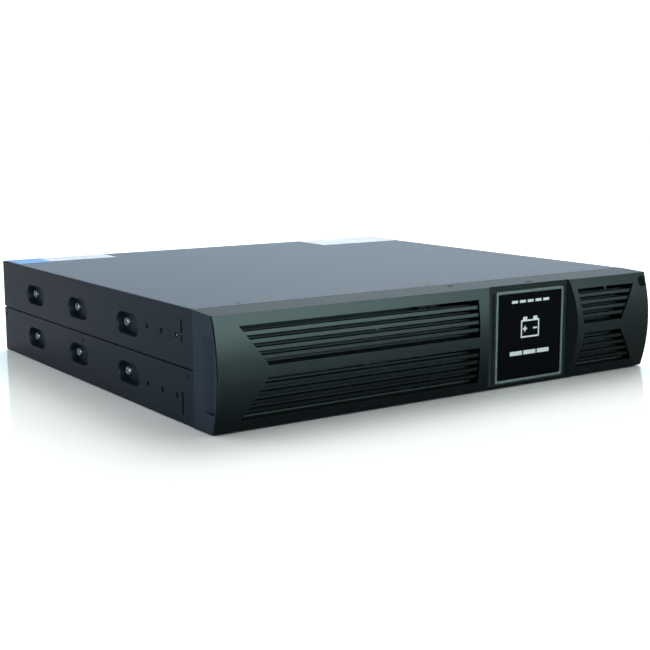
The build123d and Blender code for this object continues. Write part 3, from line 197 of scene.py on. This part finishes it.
# ---- materials --------------------------------------------------------------------------
powder_coat = textured("powder_coat", (0.0095, 0.0165, 0.0300), (0.0125, 0.0205, 0.0350),
                       (0.38, 0.48), 1500, (0.20, 0.0004), specular=0.04)
bezel_plastic = textured("bezel_plastic", (0.0020, 0.0030, 0.0035), (0.0028, 0.0040, 0.0045),
                         (0.39, 0.44), 2200, (0.08, 0.0002), specular=0.02)
# Painted sheen: the bezel's end faces get a paler colour because they face sideways.
painted_sheen_ends(bezel_plastic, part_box("bezel_shell")[1].x, (0.030, 0.044, 0.062))
louvre_plastic = textured("louvre_plastic", (0.012, 0.017, 0.017), (0.016, 0.022, 0.021),
                          (0.42, 0.52), 1800, (0.12, 0.0002), specular=0.03)
rim_plastic = textured("rim_plastic", (0.060, 0.082, 0.084), (0.070, 0.092, 0.094),
                       (0.24, 0.32), 1500, (0.05, 0.0002), specular=0.12)
gloss_plate = textured("gloss_plate", (0.0025, 0.003, 0.0045), (0.0035, 0.004, 0.0055),
                       (0.04, 0.07), 300, (0.01, 0.00005), specular=0.003)
black_plastic = textured("black_plastic", (0.013, 0.013, 0.014), (0.019, 0.019, 0.020),
                         (0.38, 0.5), 1500, (0.12, 0.0003), specular=0.12)
battery_case = textured("battery_case", (0.028, 0.030, 0.033), (0.040, 0.042, 0.045),
                        (0.45, 0.6), 900, (0.2, 0.0003), specular=0.12)
galvanised = textured("galvanised", (0.46, 0.48, 0.49), (0.66, 0.68, 0.69),
                      (0.28, 0.48), 90, (0.05, 0.0003), metallic=1.0, patch=60.0)
bright_zinc = textured("bright_zinc", (0.62, 0.64, 0.64), (0.80, 0.81, 0.80),
                       (0.16, 0.3), 700, (0.05, 0.0002), metallic=1.0, patch=120.0)
dark_zinc = textured("dark_zinc", (0.08, 0.09, 0.10), (0.13, 0.14, 0.155),
                     (0.3, 0.42), 900, (0.05, 0.0002), metallic=1.0, patch=120.0)
dull_zinc = textured("dull_zinc", (0.11, 0.115, 0.11), (0.17, 0.175, 0.17),
                     (0.5, 0.6), 900, (0.1, 0.0002), metallic=0.9, patch=120.0)
brass = textured("brass", (0.62, 0.44, 0.17), (0.74, 0.56, 0.26),
                 (0.2, 0.36), 500, (0.05, 0.0002), metallic=1.0, patch=90.0)
copper = textured("copper", (0.66, 0.30, 0.17), (0.80, 0.42, 0.27),
                  (0.2, 0.36), 400, (0.05, 0.0002), metallic=1.0, patch=70.0, stretch=(0.1, 1, 1))
lead_grey = textured("lead_grey", (0.16, 0.165, 0.175), (0.24, 0.245, 0.255),
                     (0.5, 0.7), 500, (0.3, 0.0005), metallic=0.7)
red_insulation = textured("red_insulation", (0.42, 0.012, 0.010), (0.52, 0.020, 0.015),
                          (0.30, 0.42), 900, (0.08, 0.0002))
black_insulation = textured("black_insulation", (0.011, 0.011, 0.012), (0.016, 0.016, 0.017),
                            (0.30, 0.42), 900, (0.08, 0.0002))
film = textured("film", (0.55, 0.52, 0.42), (0.64, 0.61, 0.50),
                (0.35, 0.5), 400, (0.15, 0.0002), patch=25.0)
nylon = textured("nylon", (0.62, 0.60, 0.54), (0.70, 0.68, 0.62),
                 (0.35, 0.48), 700, (0.1, 0.0002))
rubber = textured("rubber", (0.006, 0.006, 0.007), (0.010, 0.010, 0.011),
                  (0.6, 0.75), 1200, (0.25, 0.0003), specular=0.002)
pale_ink = textured("pale_ink", (0.552, 0.570, 0.570), (0.600, 0.620, 0.620),
                    (0.35, 0.5), 900, (0.05, 0.0001), specular=0.03)


def webbing_material():
    """Woven polyester band with ribs across it."""
    material, tree, shader = new_material("webbing")
    vector = object_coordinates(tree)
    wave = tree.nodes.new("ShaderNodeTexWave")
    wave.bands_direction = "X"
    wave.inputs["Scale"].default_value = 260
    wave.inputs["Distortion"].default_value = 0.6
    tree.links.new(vector, wave.inputs["Vector"])
    tree.links.new(mix_colour(tree, wave.outputs["Fac"], (0.015, 0.015, 0.018), (0.045, 0.045, 0.05)),
                   shader.inputs["Base Color"])
    shader.inputs["Roughness"].default_value = 0.85
    shader.inputs["Specular IOR Level"].default_value = 0.05
    add_bump(tree, shader, wave.outputs["Fac"], 0.6, 0.0004)
    return material


webbing = webbing_material()

FINISH = {
    "base_tray": powder_coat, "top_cover": powder_coat, "rear_panel": powder_coat,
    "front_frame": powder_coat, "centre_divider": galvanised, "guide_rails": galvanised,
    "top_cross_rail": powder_coat, "dock_brackets": galvanised, "slide_strips": nylon,
    "cover_screws": powder_coat, "clinch_nuts": dark_zinc, "pocket_screws": dull_zinc,
    "snap_grommets": rubber, "circuit_breaker": black_plastic, "breaker_terminals": brass,
    "breaker_pivot_pin": bright_zinc, "connector_housings": black_plastic,
    "connector_contacts": brass, "connector_screws": bright_zinc, "dock_sockets": black_plastic,
    "bus_bars": copper, "bus_bar_supports": black_plastic, "positive_leads": red_insulation,
    "negative_leads": black_insulation, "earth_terminal": brass,
    "bezel_shell": bezel_plastic, "corner_plug": rubber, "left_louvre_insert": louvre_plastic,
    "right_louvre_insert": louvre_plastic, "badge_frame": rim_plastic, "badge_plate": gloss_plate,
    "breaker_lever": black_plastic,
}
MODULE_FINISH = {
    "module_tray": galvanised, "module_front_plate": powder_coat, "insulation_sheet": film,
    "battery_cases": battery_case, "battery_lids": black_plastic, "plate_stacks": lead_grey,
    "battery_terminals": brass, "link_leads": black_insulation, "dock_plug": black_plastic,
    "dock_pins": brass, "hold_down_straps": webbing, "module_fasteners": dark_zinc,
    "handle_lugs": powder_coat, "handle": black_plastic,
}
for side in ("left", "right"):
    for piece, material in MODULE_FINISH.items():
        FINISH[f"{side}_{piece}"] = material

for name, node in nodes.items():
    node.data.materials.clear()
    node.data.materials.append(FINISH[name])


# ---- thin printed pieces: stickers on the cover and the badge's print -------------------
def sheet(name, outlines, push, material, body):
    """One piece made of flat outlines, each pushed out into a thin closed sheet."""
    mesh = bpy.data.meshes.new(name)
    work = bmesh.new()
    for outline in outlines:
        back = [work.verts.new(corner) for corner in outline]
        front = [work.verts.new(Vector(corner) + Vector(push)) for corner in outline]
        work.faces.new(front)
        work.faces.new(back[::-1])
        for index in range(len(outline)):
            after = (index + 1) % len(outline)
            work.faces.new((front[index], back[index], back[after], front[after]))
    bmesh.ops.recalc_face_normals(work, faces=work.faces)
    work.to_mesh(mesh)
    work.free()
    mesh.materials.append(material)
    piece = bpy.data.objects.new(name, mesh)
    scene.collection.objects.link(piece)
    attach(piece, body)


def rounded(low, high, radius, steps=5):
    """Outline points of a rounded rectangle in its own plane."""
    points = []
    centres = ((high[0] - radius, high[1] - radius, 0), (low[0] + radius, high[1] - radius, 90),
               (low[0] + radius, low[1] + radius, 180), (high[0] - radius, low[1] + radius, 270))
    for x, y, start in centres:
        for step in range(steps + 1):
            angle = math.radians(start + 90 * step / steps)
            points.append((x + radius * math.cos(angle), y + radius * math.sin(angle)))
    return points


WORD_SCALE = 160
WORD_GAP = 0.46
STICKER_RADIUS = 0.002
STICKER_THICKNESS = 0.00015
PRINT_GAP = 0.00002


def sticker_material(name, ground, ink, lines, fill):
    """Coated paper with rows of broken bars in place of any print.

    lines is how close the rows are and fill how thin: a row is where a sine passes fill.
    """
    material, tree, shader = new_material(name)
    vector = object_coordinates(tree)
    split = tree.nodes.new("ShaderNodeSeparateXYZ")
    tree.links.new(vector, split.inputs["Vector"])
    wave = math_node(tree, "SINE", math_node(tree, "MULTIPLY", split.outputs["Y"], lines))
    row = math_node(tree, "GREATER_THAN", wave, fill)
    words = noise(tree, object_coordinates(tree, (1, 0.35, 1)), WORD_SCALE, 1.0)
    word = math_node(tree, "GREATER_THAN", words, WORD_GAP)
    both = math_node(tree, "MULTIPLY", row, word)
    colour = tree.nodes.new("ShaderNodeMix")
    colour.data_type = "RGBA"
    colour.inputs[6].default_value = (*ground, 1)
    colour.inputs[7].default_value = (*ink, 1)
    tree.links.new(both, colour.inputs[0])
    tree.links.new(colour.outputs[2], shader.inputs["Base Color"])
    shader.inputs["Roughness"].default_value = 0.45
    shader.inputs["Specular IOR Level"].default_value = 0.05
    add_bump(tree, shader, noise(tree, vector, 500, 2.0), 0.08, 0.0002)
    return material


blue_label = sticker_material("blue_label", (0.07, 0.24, 0.52), (0.05, 0.17, 0.40), 900, 0.55)
white_label = sticker_material("white_label", (0.50, 0.54, 0.58), (0.30, 0.33, 0.37), 1400, 0.45)
# Name: distance from the cover's left edge and width, distance from its rear edge and depth.
STICKERS = {
    "blue_sticker": (0.0025, 0.0325, 0.0050, 0.0330, blue_label),
    "white_sticker": (0.0355, 0.0675, 0.0035, 0.0305, white_label),
    "rear_sticker": (0.3360, 0.0965, 0.0035, 0.0515, white_label),
}
cover_low, cover_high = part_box("top_cover")
for name, (inset, width, rear_inset, depth, material) in STICKERS.items():
    left = cover_low.x + inset
    rear = cover_high.y - rear_inset
    corners = rounded((left, rear - depth), (left + width, rear), STICKER_RADIUS)
    outline = [(x, y, cover_high.z + PRINT_GAP) for x, y in corners]
    sheet(name, [outline], (0, 0, STICKER_THICKNESS), material, "chassis")


# ---- badge: the battery sign, and plain bars where the print would be ------------------
def printed(name, shapes, face_y, material):
    """Flat print on the badge's face, which looks forward: each shape is a list of (x, z) points."""
    outlines = [[(x, face_y, z) for x, z in shape] for shape in shapes]
    sheet(name, outlines, (0, -PRINT_THICKNESS, 0), material, "badge")


def bar(middle_x, middle_z, width, height):
    """Corner points of an upright bar."""
    half_x, half_z = width / 2, height / 2
    return [(middle_x - half_x, middle_z - half_z), (middle_x + half_x, middle_z - half_z),
            (middle_x + half_x, middle_z + half_z), (middle_x - half_x, middle_z + half_z)]


PRINT_THICKNESS = 0.00006
LINE = 0.0013
SIGN_WIDTH = 0.0205
SIGN_HEIGHT = 0.0135
SIGN_RISE = 0.0055
POST_WIDTH = 0.0046
POST_HEIGHT = 0.00245
POST_INSET = 0.0045
SIGN_ARM = 0.0048
UPPER_BARS = 5
UPPER_BAR = (0.0066, 0.0022)
UPPER_PITCH = 0.0088
UPPER_RISE = 0.0285
LOWER_BARS = 3
LOWER_BAR = (0.0136, 0.0034)
LOWER_PITCH = 0.0152
LOWER_DROP = 0.0143

plate_low, plate_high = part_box("badge_plate")
badge_x = (plate_low.x + plate_high.x) / 2
badge_z = (plate_low.z + plate_high.z) / 2
badge_face = plate_low.y - PRINT_GAP


def battery_sign():
    """A battery seen from the side: its case, two posts, a plus and a minus."""
    middle_z = badge_z + SIGN_RISE
    half_arm = (SIGN_ARM - LINE) / 2
    post_x = SIGN_WIDTH / 2 - POST_INSET
    shapes = []
    for side in (-1, 1):
        side_x = badge_x + side * (SIGN_WIDTH - LINE) / 2
        shapes.append(bar(badge_x, middle_z + side * SIGN_HEIGHT / 2, SIGN_WIDTH, LINE))
        shapes.append(bar(side_x, middle_z, LINE, SIGN_HEIGHT - LINE))
        shapes.append(bar(badge_x + side * post_x, middle_z + (SIGN_HEIGHT + LINE + POST_HEIGHT) / 2,
                          POST_WIDTH, POST_HEIGHT))
        shapes.append(bar(badge_x + side * post_x, middle_z, SIGN_ARM, LINE))
        shapes.append(bar(badge_x - post_x, middle_z + side * (LINE + half_arm) / 2, LINE, half_arm))
    return shapes


def bar_row(count, pitch, middle_z, size):
    """A row of equal bars centred on the badge."""
    return [bar(badge_x + (index - (count - 1) / 2) * pitch, middle_z, *size) for index in range(count)]


printed("battery_sign", battery_sign(), badge_face, pale_ink)
badge_bars = bar_row(UPPER_BARS, UPPER_PITCH, badge_z + UPPER_RISE, UPPER_BAR)
badge_bars += bar_row(LOWER_BARS, LOWER_PITCH, badge_z - LOWER_DROP, LOWER_BAR)
printed("badge_bars", badge_bars, badge_face, pale_ink)

# ---- floor, backdrop and light ----------------------------------------------------------
scene.view_settings.view_transform = "Standard"
FLOOR_HALF = 12.0
FLOOR_COLOUR = (0.94, 0.98, 0.975, 1)
FLOOR_ROUGHNESS = 0.08
FLOOR_GLOSS = 0.03
floor_mesh = bpy.data.meshes.new("floor")
floor_mesh.from_pydata([(-FLOOR_HALF, -FLOOR_HALF, 0), (FLOOR_HALF, -FLOOR_HALF, 0),
                        (FLOOR_HALF, FLOOR_HALF, 0), (-FLOOR_HALF, FLOOR_HALF, 0)],
                       [], [(0, 1, 2, 3)])
floor = bpy.data.objects.new("floor", floor_mesh)
scene.collection.objects.link(floor)
floor_paint, _, floor_shader = new_material("floor_paint")
floor_shader.inputs["Base Color"].default_value = FLOOR_COLOUR
floor_shader.inputs["Roughness"].default_value = FLOOR_ROUGHNESS
floor_shader.inputs["Specular IOR Level"].default_value = FLOOR_GLOSS
floor_mesh.materials.append(floor_paint)

# The sky is bright behind the object and to its right, and dim behind the camera.
BRIGHT_SIDE = (0.50, 0.75, 0.43)
BRIGHT_SKY = 1.12
DIM_SKY = 0.30
SKY_FADE = (-0.25, 0.40)
SKY_COLOUR = (0.985, 1.0, 1.0, 1)
world = bpy.data.worlds.new("studio")
world.use_nodes = True
world_tree = world.node_tree
sky = world_tree.nodes["Background"]
direction = world_tree.nodes.new("ShaderNodeTexCoord")
facing = world_tree.nodes.new("ShaderNodeVectorMath")
facing.operation = "DOT_PRODUCT"
facing.inputs[1].default_value = BRIGHT_SIDE
sky_level = world_tree.nodes.new("ShaderNodeMapRange")
sky_level.interpolation_type = "SMOOTHSTEP"
sky_level.inputs["From Min"].default_value = SKY_FADE[0]
sky_level.inputs["From Max"].default_value = SKY_FADE[1]
sky_level.inputs["To Min"].default_value = DIM_SKY
sky_level.inputs["To Max"].default_value = BRIGHT_SKY
world_tree.links.new(direction.outputs["Generated"], facing.inputs[0])
world_tree.links.new(facing.outputs["Value"], sky_level.inputs["Value"])
world_tree.links.new(sky_level.outputs["Result"], sky.inputs["Strength"])
sky.inputs["Color"].default_value = SKY_COLOUR
scene.world = world


def softbox(name, place, target, size, power, colour=(1, 1, 1), only_gloss=False):
    """A rectangular area light aimed at a point; with only_gloss it shows in reflections alone."""
    data = bpy.data.lights.new(name, "AREA")
    data.shape = "RECTANGLE"
    data.size, data.size_y = size
    data.energy = power
    data.color = colour
    lamp = bpy.data.objects.new(name, data)
    lamp.location = place
    aim = Vector(target) - Vector(place)
    lamp.rotation_euler = aim.to_track_quat("-Z", "Y").to_euler()
    lamp.visible_diffuse = not only_gloss
    lamp.visible_camera = False
    scene.collection.objects.link(lamp)


# The cards show in glossy faces alone: the front one in the bezel's face, the back one in the cover.
softbox("top_light", (1.6, 1.3, 2.4), (0, 0, 0), (2.0, 2.0), 75)
softbox("front_card", (0.20, -1.95, 0.78), (0, -0.2, 0.05), (2.5, 1.2), 1180,
        (0.68, 1.0, 0.98), only_gloss=True)
softbox("back_card", (1.5, 2.4, 0.9), (0, 0, 0.08), (3.2, 1.5), 28,
        (0.50, 0.78, 1.0), only_gloss=True)
